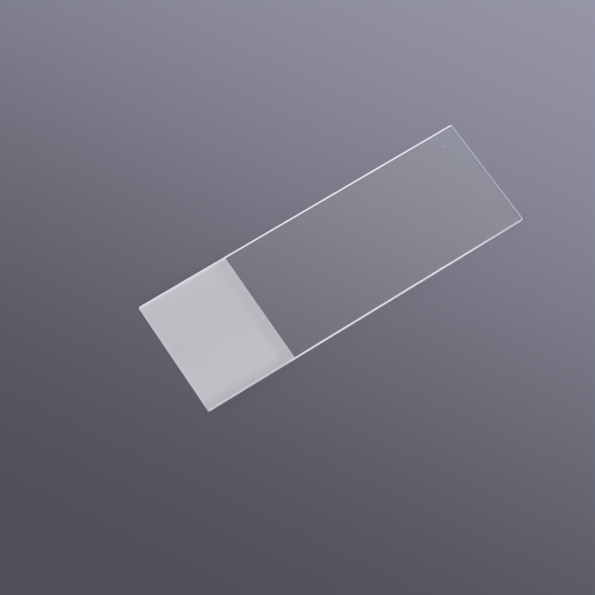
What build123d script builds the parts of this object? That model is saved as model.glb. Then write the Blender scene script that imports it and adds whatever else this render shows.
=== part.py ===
from build123d import *
import os

# A plain glass microscope slide, three inches by one, with ground edges and one etched end.
# It lies on its plain face, which is z = 0, and the origin is under its middle. +X runs from the
# etched end to the clear end, and +Z is the side that takes the specimen and the label.

# The plate, in millimetres
slide_length = 76.2
slide_width = 25.4
slide_thickness = 1.0

# The ground edges
edge_bevel = 0.15  # leg of the 45 degree bevel along both faces
corner_break = 0.25  # leg of the 45 degree flat that takes the point off each corner

# The etched end, which takes a pencil
frost_length = 20.0  # from the end of the slide to the clear window
frost_depth = 0.015  # how far the etch lowers the face

with BuildPart() as slide:
    # The plate is cut square from drawn sheet, and its four corners are broken
    with BuildSketch() as outline:
        Rectangle(slide_length, slide_width)
        chamfer(outline.vertices(), length=corner_break)
    extrude(amount=slide_thickness)

    # Grinding bevels the plate all round, on the lower and the upper face
    lower_face, upper_face = slide.faces().filter_by(Axis.Z).sort_by(Axis.Z)
    chamfer(lower_face.edges() + upper_face.edges(), length=edge_bevel)

    # The etch lowers the upper face across the whole width of one end, bevels and all
    with BuildSketch(Plane.XY.offset(slide_thickness)):
        with Locations((-slide_length / 2, 0)):
            Rectangle(frost_length, slide_width, align=(Align.MIN, Align.CENTER))
    extrude(amount=-frost_depth, mode=Mode.SUBTRACT)

slide.part.label = "slide"
os.makedirs("parts", exist_ok=True)
export_step(slide.part, "parts/slide.step")
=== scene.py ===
import math

import bmesh
import bpy
from mathutils import Matrix, Vector, noise


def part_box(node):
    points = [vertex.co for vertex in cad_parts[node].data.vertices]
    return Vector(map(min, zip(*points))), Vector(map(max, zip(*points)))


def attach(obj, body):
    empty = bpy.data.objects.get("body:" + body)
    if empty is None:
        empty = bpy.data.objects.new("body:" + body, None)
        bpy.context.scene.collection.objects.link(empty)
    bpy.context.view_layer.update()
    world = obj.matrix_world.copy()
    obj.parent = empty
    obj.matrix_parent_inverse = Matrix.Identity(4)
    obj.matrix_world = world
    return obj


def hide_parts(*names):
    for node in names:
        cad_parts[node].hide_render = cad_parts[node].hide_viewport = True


# A glass microscope slide, three inches by one, with ground edges and one etched end. It lies on a
# plain floor. Everything is in metres, in the frame of the CAD model: +X from the etched end to the
# clear end, +Y from the near edge to the far one, +Z up, and the origin under the middle of the slide.

MM = 0.001

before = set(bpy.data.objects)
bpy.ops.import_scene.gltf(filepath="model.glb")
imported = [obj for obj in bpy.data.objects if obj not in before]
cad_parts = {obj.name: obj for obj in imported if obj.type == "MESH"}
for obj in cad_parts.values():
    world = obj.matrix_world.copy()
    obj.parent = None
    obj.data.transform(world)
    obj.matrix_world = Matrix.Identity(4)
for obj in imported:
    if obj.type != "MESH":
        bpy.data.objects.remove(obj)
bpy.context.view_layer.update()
low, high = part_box("slide")

# The glass plate, whose outer sizes come from the frame
THICKNESS = high.z - low.z
BEVEL = 0.15 * MM
CORNER_BREAK = 0.25 * MM
FROST_EDGE = low.x + 20.15 * MM  # where the etched end, nominally 20 mm, stops and the clear window starts
FROST_DEPTH = 0.015 * MM
SAME_PLACE = 0.001 * MM  # two places nearer than this count as one

# What a hand-fed wheel left along the edges
GRINDING_STEP = 0.5 * MM  # spacing of the points along them
GRINDING_WANDER = 0.02 * MM  # how far a bevel's width strays either way
GRINDING_WAVE = 3 * MM  # the length over which it strays
GRINDING_LEAN = 0.08 * MM  # how much the far edge's bevels widen towards the clear end
LOWER_PASS, UPPER_PASS = 10 * MM, 20 * MM  # where the noise is read for the lower and the upper bevels

# Glass. Colours are linear. CLEARNESS is how far a finish is see-through, and PASSED is the share of a
# lamp's light that goes on through it
GLASS_IOR = 1.52
NOISE_MIDDLE = 0.5  # the noise value about which a pattern strays either way

# The clear faces and their wipe marks
CLEAR_TINT = (0.992, 0.995, 0.996, 1)
CLEAR_PASSED = 0.96
WIPE_SIZE = 6 * MM
WIPE_STRETCH = (0.4, 1, 1)  # drawn out along X
WIPE_ROUGHNESS = 0.03

# The ground edges, with painted shade that greys them, and the wheel's fine lines along them
GROUND_WHITE = (0.915, 0.925, 0.975, 1)
# painted shade: the grey the edges take where less light reaches them
GROUND_PAINTED_SHADE = (0.70, 0.71, 0.76, 1)
GROUND_CLEARNESS = 0.15
GROUND_PASSED = 0.95
GROUND_ROUGHNESS = 0.45
GROUND_RELIEF = 0.004 * MM
PAINTED_SHADE_START = 20 * MM  # from here painted shade greys the long edges towards the clear end
FAR_EDGE_PAINTED_SHADE = 0.4  # how far painted shade greys the far edge at the clear end, where the near one is wholly grey
ETCHED_END_PAINTED_SHADE = 0.72  # how far painted shade greys the near edge along the etched end
PAINTED_SHADE_REACH = 1 * MM  # how far round its corner this painted shade reaches
LINE_SIZE = 0.04 * MM
LINE_STRETCH = (0.08, 0.08, 1)  # drawn out along all four edges
LINE_CONTRAST = 0.3
LINE_ROUGHNESS = 0.2

# The edge of the clear end, which is ground finer and painted greyer as shade
# painted shade: a greyer colour than the long edges' white
SEAM_PAINTED_SHADE = (0.77, 0.78, 0.84, 1)
SEAM_CLEARNESS = 0.36
SEAM_ROUGHNESS = 0.35
SEAM_RELIEF = 0.003 * MM

# The etched end, with its grain, its clouds and its painted shade
FROST_WHITE = (0.935, 0.932, 0.953, 1)
FROST_GREY = (0.80, 0.80, 0.82, 1)  # the greyer tone: painted shade along the near edge and in the far half, and greyer before the window
FROST_CLEARNESS = 0.525
FROST_PASSED = 0.8
FROST_ROUGHNESS = 0.72
FROST_RELIEF = 0.006 * MM
PAINTED_SHADE_RIM = 3 * MM  # width of the band of painted shade along the near edge, and the stretch past the window over which the near ground edge's painted shade sets in
WINDOW_GREYING_START, WINDOW_GREYING_END = 3.6 * MM, 1.2 * MM  # over this stretch before the window it grows greyer too
WINDOW_GREYNESS = 0.8  # how grey it gets there
FROST_FAR_PAINTED_SHADE = 0.3  # how far painted shade greys it in its far half
FROST_BORDER = 0.35 * MM  # width of the whiter line where the etch stops
BORDER_WHITENESS = 0.9
GRAIN_SIZE = 0.12 * MM
GRAIN_ROUGHNESS = 0.15
CLOUD_SIZE = 5 * MM
CLOUD_CONTRAST = 0.5

# What lies on the clear window: a flake and a fibre
DUST_WHITE = (0.94, 0.95, 1.0, 1)
DUST_GREY = (0.82, 0.83, 0.87, 1)
DUST_GRAIN = 0.03 * MM
DUST_ROUGHNESS = 0.9
DUST_TURN = math.radians(-36)  # about Z, of the flake and of the fibre
FLECK_PLACE = (33.57 * MM, 9.33 * MM)
FLECK_SIZE = (0.34 * MM, 0.10 * MM, 0.02 * MM)
FLECK_RAGGED = 0.35
FLECK_LUMPS = 2.5  # about how many lumps lie over its radius
FIBRE_PLACE = (26.0 * MM, 0.4 * MM)
FIBRE_LENGTH = 1.1 * MM
FIBRE_RADIUS = 0.009 * MM
FIBRE_BENDS = (0, 0.06 * MM, 0.02 * MM, -0.07 * MM, -0.03 * MM)  # how far it strays from straight

# The floor lies a hair under the glass, because a real one touches it only here and there
FLOOR_GAP = 0.05 * MM
FLOOR_HALF = 3.0  # half of its length and of its width
# Painted shade and painted light: the floor's colour grows deeper one way and paler the other, standing in
# for a lamp's falloff
FLOOR_PAINTED_SHADE = (0.059, 0.0595, 0.076, 1)
FLOOR_PAINTED_LIGHT = (0.271, 0.271, 0.341, 1)
FLOOR_ROUGHNESS = 0.15
SHADE_WAY = (0.86, 0.51, 0)  # the floor's painted light and the sky grow paler this way
SHADE_START, SHADE_END = -82.5 * MM, 113.5 * MM  # where the floor's deepest painted shade and palest painted light lie

# The sky, a globe of radius 1. At the horizon it has the lit floor's own tones, and it is paler overhead
HORIZON_DEEP = (0.083, 0.083, 0.105, 1)
HORIZON_PALE = (0.319, 0.319, 0.396, 1)
HORIZON_START, HORIZON_END = -0.5, 0.5  # where the horizon's two tones lie
OVERHEAD_DEEP = (0.42, 0.42, 0.445, 1)
OVERHEAD_PALE = (1.00, 1.00, 1.05, 1)
OVERHEAD_START, OVERHEAD_END = 0.27, 0.5  # where the two overhead lie
RISE_START, RISE_END = 0.15, 0.9  # heights between which the overhead tones take over

# The two side lights
FAR_SIDE_POWER = 1.93
NEAR_SIDE_POWER = 2.25
SIDE_HEIGHT = math.radians(28)  # above the floor
SIDE_BREADTH = math.radians(30)

# The camera looks down on the slide, from beyond the near corner of the etched end
CAMERA_PLACE = Vector((-101.38, -99.64, 330.07)) * MM
CAMERA_AIM = Vector((-10.47, -2.38, 1.0)) * MM
CAMERA_ROLL = math.radians(9.95)
CAMERA_LENS, CAMERA_SENSOR = 108.45, 36  # both in millimetres

# A Mix node's sockets for colours
MIX_SHARE, MIX_FIRST, MIX_SECOND, MIX_RESULT = 0, 6, 7, 2


class Wire:
    """A node's output, which takes part in Python sums as a value does."""

    def __init__(self, recipe, socket):
        self.recipe, self.socket = recipe, socket

    def _math(self, operation, a, b):
        made = self.recipe.node("ShaderNodeMath", {"operation": operation}, {0: a, 1: b})
        return made("Value")

    def __add__(self, other):
        return self._math("ADD", self, other)

    def __sub__(self, other):
        return self._math("SUBTRACT", self, other)

    def __rsub__(self, other):
        return self._math("SUBTRACT", other, self)

    def __mul__(self, other):
        return self._math("MULTIPLY", self, other)

    __radd__, __rmul__ = __add__, __mul__


class Recipe:
    """The node tree of one material or of the world."""

    def __init__(self, owner):
        owner.use_nodes = True
        self.tree = owner.node_tree
        self.tree.nodes.clear()

    def node(self, kind, settings=(), inputs=()):
        """Adds a node of a kind, sets it up, fills its sockets, and returns how to ask for its outputs."""
        made = self.tree.nodes.new(kind)
        for name, value in dict(settings).items():
            setattr(made, name, value)
        for name, value in dict(inputs).items():
            if isinstance(value, Wire):
                self.tree.links.new(value.socket, made.inputs[name])
            else:
                made.inputs[name].default_value = value
        return lambda output: Wire(self, made.outputs[output])


def new_material(name):
    material = bpy.data.materials.new(name)
    return material, Recipe(material)


def spot(recipe, cell, detail=3.0, stretch=(1, 1, 1)):
    """A noise value from 0 to 1 over the piece, with features about cell metres across."""
    place = recipe.node("ShaderNodeTexCoord")("Object")
    scaled = recipe.node("ShaderNodeMapping", inputs={"Vector": place, "Scale": stretch})("Vector")
    made = recipe.node("ShaderNodeTexNoise", inputs={"Vector": scaled, "Scale": 1 / cell, "Detail": detail})
    return made("Fac")


def position(recipe, axis):
    """The place along one axis of the frame."""
    place = recipe.node("ShaderNodeTexCoord")("Object")
    return recipe.node("ShaderNodeSeparateXYZ", inputs={"Vector": place})(axis)


def eased(recipe, value, start, end):
    """A share that eases from 0 to 1 as a value goes from start to end."""
    made = recipe.node("ShaderNodeMapRange", {"interpolation_type": "SMOOTHSTEP"}, {
        "Value": value, "From Min": start, "From Max": end,
    })
    return made("Result")


def blended(recipe, share, first, second):
    """A colour that goes from the first to the second as the share goes from 0 to 1."""
    made = recipe.node("ShaderNodeMix", {"data_type": "RGBA"}, {
        MIX_SHARE: share, MIX_FIRST: first, MIX_SECOND: second,
    })
    return made(MIX_RESULT)


def shaded(recipe, place, start, end, deep, pale):
    """A colour that goes from deep at the start to pale at the end, along the way the floor's painted shade
    gives way to painted light and the sky grows paler.
    """
    along = recipe.node("ShaderNodeVectorMath", {"operation": "DOT_PRODUCT"}, {0: place, 1: SHADE_WAY})
    return blended(recipe, eased(recipe, along("Value"), start, end), deep, pale)


def bumped(recipe, height, depth):
    """A normal that stands for relief of that depth in metres, from a height between 0 and 1."""
    return recipe.node("ShaderNodeBump", inputs={"Height": height, "Distance": depth})("Normal")


def finish_surface(recipe, shader):
    recipe.node("ShaderNodeOutputMaterial", inputs={"Surface": shader})


def finish_glass(recipe, passed, look):
    """Ends a glass surface of that look. A lamp's light goes on through it, less what the glass keeps."""
    shader = recipe.node("ShaderNodeBsdfPrincipled", inputs={"IOR": GLASS_IOR, **look})("BSDF")
    clear = recipe.node("ShaderNodeBsdfTransparent", inputs={"Color": (passed, passed, passed, 1)})("BSDF")
    lamp_ray = recipe.node("ShaderNodeLightPath")("Is Shadow Ray")
    mixed = recipe.node("ShaderNodeMixShader", inputs={0: lamp_ray, 1: shader, 2: clear})("Shader")
    finish_surface(recipe, mixed)


def polished_glass():
    """The clear faces: drawn sheet glass, with the faintest wipe marks."""
    material, recipe = new_material("polished_glass")
    finish_glass(recipe, CLEAR_PASSED, {
        "Base Color": CLEAR_TINT,
        "Roughness": spot(recipe, WIPE_SIZE, stretch=WIPE_STRETCH) * WIPE_ROUGHNESS,
        "Transmission Weight": 1.0,
    })
    return material


def wheel_lines(recipe):
    """A value from 0 to 1 for the fine lines that the wheel left along the edges."""
    return spot(recipe, LINE_SIZE, stretch=LINE_STRETCH)


def ground_glass():
    """The ground edges: white, with painted shade that greys them towards the clear end and along the
    etched end's near edge.
    """
    material, recipe = new_material("ground_glass")
    lines = wheel_lines(recipe)
    along, across = position(recipe, "X"), position(recipe, "Y")
    to_clear_end = eased(recipe, along, PAINTED_SHADE_START, high.x)
    on_etched_end = eased(recipe, along, FROST_EDGE, FROST_EDGE - PAINTED_SHADE_RIM)
    on_near_edge = eased(recipe, across, low.y + PAINTED_SHADE_REACH, low.y + 2 * BEVEL)
    # Painted shade, greyer where less light reaches the edges, with the wheel's real streaks added
    near_painted_shade = to_clear_end * (1 - FAR_EDGE_PAINTED_SHADE) + on_etched_end * ETCHED_END_PAINTED_SHADE
    streaks = (lines - NOISE_MIDDLE) * LINE_CONTRAST
    painted_shade_and_streaks = to_clear_end * FAR_EDGE_PAINTED_SHADE + on_near_edge * near_painted_shade + streaks
    finish_glass(recipe, GROUND_PASSED, {
        "Base Color": blended(recipe, painted_shade_and_streaks, GROUND_WHITE, GROUND_PAINTED_SHADE),
        "Roughness": GROUND_ROUGHNESS + lines * LINE_ROUGHNESS,
        "Transmission Weight": GROUND_CLEARNESS,
        "Normal": bumped(recipe, lines, GROUND_RELIEF),
    })
    return material


def seamed_glass():
    """The edge of the clear end: finer than the long edges, so it scatters less, and painted greyer as
    shade.
    """
    material, recipe = new_material("seamed_glass")
    lines = wheel_lines(recipe)
    finish_glass(recipe, GROUND_PASSED, {
        "Base Color": SEAM_PAINTED_SHADE,
        "Roughness": SEAM_ROUGHNESS + lines * LINE_ROUGHNESS,
        "Transmission Weight": SEAM_CLEARNESS,
        "Normal": bumped(recipe, lines, SEAM_RELIEF),
    })
    return material


def etched_glass():
    """The writing end: milky, with an even grain, greyed by painted shade along the near edge and in its
    far half, greyer before the window, and whitest at its border.
    """
    material, recipe = new_material("etched_glass")
    grain = spot(recipe, GRAIN_SIZE, detail=2.0)
    clouds = spot(recipe, CLOUD_SIZE)
    along, across = position(recipe, "X"), position(recipe, "Y")
    to_window = eased(recipe, along, FROST_EDGE - WINDOW_GREYING_START, FROST_EDGE - WINDOW_GREYING_END)
    to_near_edge = eased(recipe, across, low.y + PAINTED_SHADE_RIM, low.y)
    in_far_half = eased(recipe, across, low.y / 2, 0.0)
    at_border = eased(recipe, along, FROST_EDGE - FROST_BORDER, FROST_EDGE)
    # Painted shade along the near edge and in the far half, a greyer stretch before the window, a whiter
    # border, and random clouds
    greyness_and_painted_shade = to_near_edge + to_window * WINDOW_GREYNESS + in_far_half * (1 - to_window) * FROST_FAR_PAINTED_SHADE
    greyness_and_painted_shade = greyness_and_painted_shade - at_border * BORDER_WHITENESS + (clouds - NOISE_MIDDLE) * CLOUD_CONTRAST
    finish_glass(recipe, FROST_PASSED, {
        "Base Color": blended(recipe, greyness_and_painted_shade, FROST_WHITE, FROST_GREY),
        "Roughness": FROST_ROUGHNESS + grain * GRAIN_ROUGHNESS,
        "Transmission Weight": FROST_CLEARNESS,
        "Normal": bumped(recipe, grain, FROST_RELIEF),
    })
    return material


def loose_dust():
    """Dry white dust, matt and a little uneven."""
    material, recipe = new_material("loose_dust")
    uneven = spot(recipe, DUST_GRAIN, detail=2.0)
    shader = recipe.node("ShaderNodeBsdfPrincipled", inputs={
        "Base Color": blended(recipe, uneven, DUST_GREY, DUST_WHITE),
        "Roughness": DUST_ROUGHNESS,
    })
    finish_surface(recipe, shader("BSDF"))
    return material


def add_object(name, data):
    added = bpy.data.objects.new(name, data)
    bpy.context.scene.collection.objects.link(added)
    return added


def add_piece(name, data):
    """Places a piece of the slide in the scene, as part of its one body."""
    piece = add_object(name, data)
    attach(piece, "root")
    return piece


def finished_mesh(name, made, *materials):
    mesh = bpy.data.meshes.new(name)
    made.to_mesh(mesh)
    made.free()
    for material in materials:
        mesh.materials.append(material)
    return mesh


# The plate's finishes, in the order of its materials
POLISHED, GROUND, SEAMED, ETCHED = range(4)


def outline_points():
    """Points round the plan of the plate, anticlockwise, each with the way its bevel runs inwards."""
    x, y, c = high.x, high.y, CORNER_BREAK
    corners = [
        (FROST_EDGE, -y), (x - c, -y), (x, c - y), (x, y - c), (x - c, y), (FROST_EDGE, y),
        (c - x, y), (-x, y - c), (-x, c - y), (c - x, -y),
    ]
    corners = [Vector(p) for p in corners]
    points = []
    for i, start in enumerate(corners):
        before, after = corners[i - 1], corners[(i + 1) % len(corners)]
        along, along_before = (after - start).normalized(), (start - before).normalized()
        inward, inward_before = Vector((-along.y, along.x)), Vector((-along_before.y, along_before.x))
        mitre = (inward + inward_before) / (1 + inward.dot(inward_before))
        points.append((start, mitre))
        steps = max(1, round((after - start).length / GRINDING_STEP))
        points += [(start.lerp(after, k / steps), inward) for k in range(1, steps)]
    return points


def bevel_leg(p, grinding_pass):
    """The leg of the ground bevel at a point of the plan."""
    wander = GRINDING_WANDER * noise.noise(Vector((p.x, p.y, grinding_pass)) / GRINDING_WAVE)
    on_far_edge = max(0, 1 - (high.y - p.y) / CORNER_BREAK)
    towards_clear_end = (p.x - low.x) / (high.x - low.x)
    return BEVEL + wander + GRINDING_LEAN * on_far_edge * towards_clear_end


def wall_ring(made, points, height, way, grinding_pass):
    """Vertices round the side walls, where they meet a face's bevel. The way is 1 up or -1 down from it."""
    return [made.verts.new((p.x, p.y, height + way * bevel_leg(p, grinding_pass))) for p, _ in points]


def face_ring(made, points, which, height, grinding_pass, sunk=0):
    """Vertices round a face, where it meets its bevel, by point. A sunk face meets it further out."""
    ring = {}
    for i in which:
        p, inward = points[i]
        q = p + inward * (bevel_leg(p, grinding_pass) - sunk)
        ring[i] = made.verts.new((q.x, q.y, height - sunk))
    return ring


def plate_shape():
    """The plate as a closed mesh: two faces, and between them the ground bevels and side walls."""
    points = outline_points()
    count = len(points)
    # The step of the etch crosses the outline at point 0 and, on the far edge, at this one
    far_step = next(i for i, (p, _) in enumerate(points) if p.y > 0 and abs(p.x - FROST_EDGE) < SAME_PLACE)
    over_etch = [*range(far_step, count), 0]
    made = bmesh.new()
    bottom = face_ring(made, points, range(count), 0, LOWER_PASS)
    lower = wall_ring(made, points, 0, 1, LOWER_PASS)
    upper = wall_ring(made, points, THICKNESS, -1, UPPER_PASS)
    window = face_ring(made, points, range(far_step + 1), THICKNESS, UPPER_PASS)
    etched = face_ring(made, points, over_etch, THICKNESS, UPPER_PASS, sunk=FROST_DEPTH)

    def face(verts, finish):
        made.faces.new(verts).material_index = finish

    for i, (start, _) in enumerate(points):
        j = (i + 1) % count
        on_clear_end = min(start.x, points[j][0].x) > high.x - SAME_PLACE
        finish = SEAMED if on_clear_end else GROUND
        face((bottom[i], bottom[j], lower[j], lower[i]), finish)
        face((lower[i], lower[j], upper[j], upper[i]), finish)
        inner = (etched[j], etched[i]) if i >= far_step else (window[j], window[i])
        # The window's two bevels beside the step take in its lower corners
        if j == far_step:
            inner = (etched[j], *inner)
        if i == 0:
            inner = (*inner, etched[i])
        face((upper[i], upper[j], *inner), finish)
    face(list(reversed(bottom.values())), POLISHED)
    face(list(window.values()), POLISHED)
    face(list(etched.values()), ETCHED)
    face((window[0], window[far_step], etched[far_step], etched[0]), ETCHED)
    made.normal_update()
    return made


def slide_plate():
    finishes = (polished_glass(), ground_glass(), seamed_glass(), etched_glass())
    plate = add_piece("slide_plate", finished_mesh("slide_plate", plate_shape(), *finishes))
    plate.visible_diffuse = False  # the floor under the glass is lit as evenly as beside it
    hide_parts("slide")


def dust_fleck(material):
    """A flat flake that lies on the clear window, near a corner."""
    made = bmesh.new()
    bmesh.ops.create_icosphere(made, subdivisions=3, radius=1)
    for vert in made.verts:
        ragged = 1 + FLECK_RAGGED * noise.noise(vert.co * FLECK_LUMPS)
        vert.co = Vector([a * b * ragged for a, b in zip(vert.co, FLECK_SIZE)]) / 2
    lowest = min(vert.co.z for vert in made.verts)
    place = Matrix.Translation((*FLECK_PLACE, high.z - lowest)) @ Matrix.Rotation(DUST_TURN, 4, "Z")
    bmesh.ops.transform(made, matrix=place, verts=made.verts)
    add_piece("dust_fleck", finished_mesh("dust_fleck", made, material))


def lint_fibre(material):
    """A short fine fibre that lies on the clear window."""
    fibre = bpy.data.curves.new("lint_fibre", "CURVE")
    fibre.dimensions = "3D"
    fibre.bevel_depth = FIBRE_RADIUS
    fibre.bevel_resolution = 2
    fibre.use_fill_caps = True
    line = fibre.splines.new("NURBS")
    spans = len(FIBRE_BENDS) - 1
    line.points.add(spans)
    turn = Matrix.Rotation(DUST_TURN, 2)
    for k, (point, bend) in enumerate(zip(line.points, FIBRE_BENDS)):
        along = FIBRE_LENGTH * (k / spans - 0.5)
        x, y = Vector(FIBRE_PLACE) + turn @ Vector((along, bend))
        point.co = (x, y, high.z + FIBRE_RADIUS, 1)
    line.order_u = 3
    line.use_endpoint_u = True
    fibre.materials.append(material)
    add_piece("lint_fibre", fibre)


def dust():
    material = loose_dust()
    dust_fleck(material)
    lint_fibre(material)


def painted_shade_floor():
    """Plain smooth card, with painted shade on one side of the slide and painted light on the other."""
    material, recipe = new_material("painted_shade_floor")
    place = recipe.node("ShaderNodeTexCoord")("Object")
    shader = recipe.node("ShaderNodeBsdfPrincipled", inputs={
        "Base Color": shaded(recipe, place, SHADE_START, SHADE_END, FLOOR_PAINTED_SHADE, FLOOR_PAINTED_LIGHT),
        "Roughness": FLOOR_ROUGHNESS,
    })
    finish_surface(recipe, shader("BSDF"))
    return material


def floor():
    made = bmesh.new()
    place = Matrix.Translation((0, 0, low.z - FLOOR_GAP))
    bmesh.ops.create_grid(made, x_segments=1, y_segments=1, size=FLOOR_HALF, matrix=place)
    ground = add_object("floor", finished_mesh("floor", made, painted_shade_floor()))


def side_light(name, side, power):
    """A broad, distant light, which spreads evenly over the floor. The side is 1 for far or -1 for near."""
    data = bpy.data.lights.new(name, "SUN")
    data.energy = power
    data.angle = SIDE_BREADTH
    lamp = add_object(name, data)
    lamp.location = (0, side * math.cos(SIDE_HEIGHT), math.sin(SIDE_HEIGHT))
    lamp.rotation_euler = lamp.location.to_track_quat("Z", "Y").to_euler()
    # Nothing mirrors the lamp, and it isn't seen through the glass
    lamp.visible_glossy = False
    lamp.visible_transmission = False


def lights():
    side_light("far_side_light", 1, FAR_SIDE_POWER)
    side_light("near_side_light", -1, NEAR_SIDE_POWER)


def studio_air():
    """Soft light from above, which falls off to the floor's own tone behind the horizon."""
    world = bpy.data.worlds.new("studio_air")
    bpy.context.scene.world = world
    recipe = Recipe(world)
    way = recipe.node("ShaderNodeTexCoord")("Generated")
    height = recipe.node("ShaderNodeSeparateXYZ", inputs={"Vector": way})("Z")
    horizon = shaded(recipe, way, HORIZON_START, HORIZON_END, HORIZON_DEEP, HORIZON_PALE)
    overhead = shaded(recipe, way, OVERHEAD_START, OVERHEAD_END, OVERHEAD_DEEP, OVERHEAD_PALE)
    tone = blended(recipe, eased(recipe, height, RISE_START, RISE_END), horizon, overhead)
    shader = recipe.node("ShaderNodeBackground", inputs={"Color": tone})
    recipe.node("ShaderNodeOutputWorld", inputs={"Surface": shader("Background")})


def camera():
    data = bpy.data.cameras.new("camera")
    data.sensor_width = CAMERA_SENSOR
    data.lens = CAMERA_LENS
    data.clip_start, data.clip_end = 0.01, 20
    eye = add_object("camera", data)
    turn = (CAMERA_AIM - CAMERA_PLACE).to_track_quat("-Z", "Y").to_matrix().to_4x4()
    eye.matrix_world = Matrix.Translation(CAMERA_PLACE) @ turn @ Matrix.Rotation(CAMERA_ROLL, 4, "Z")
    bpy.context.scene.camera = eye


camera()
slide_plate()
dust()
floor()
lights()
studio_air()
bpy.context.scene.view_settings.view_transform = "Standard"
